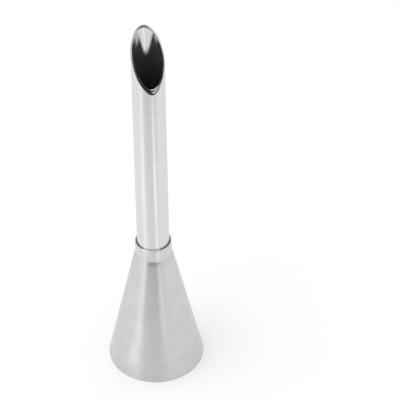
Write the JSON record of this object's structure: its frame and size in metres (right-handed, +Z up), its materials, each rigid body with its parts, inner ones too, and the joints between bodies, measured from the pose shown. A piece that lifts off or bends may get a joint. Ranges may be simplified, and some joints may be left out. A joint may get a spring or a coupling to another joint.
{
  "type": "piping nozzle",
  "caption": "Long filling nozzle for piping bags: an open steel cone with a short collar that holds a thin straight tube with a bevelled, blunt point.",
  "frame": {"origin": "centre of the cone's open mouth, on the plane that the nozzle stands on", "axes": "+Z up the tube towards the point; the bevel of the tip opens towards -Y"},
  "size_m": [0.018, 0.018, 0.076],
  "materials": {
    "satin_steel": "fine lathe-brushed satin",
    "polished_steel": "drawn tube, polished"
  },
  "bodies": {
    "root": {"nozzle_cone": "satin_steel", "filling_tube": "polished_steel"}
  },
  "joints": []
}
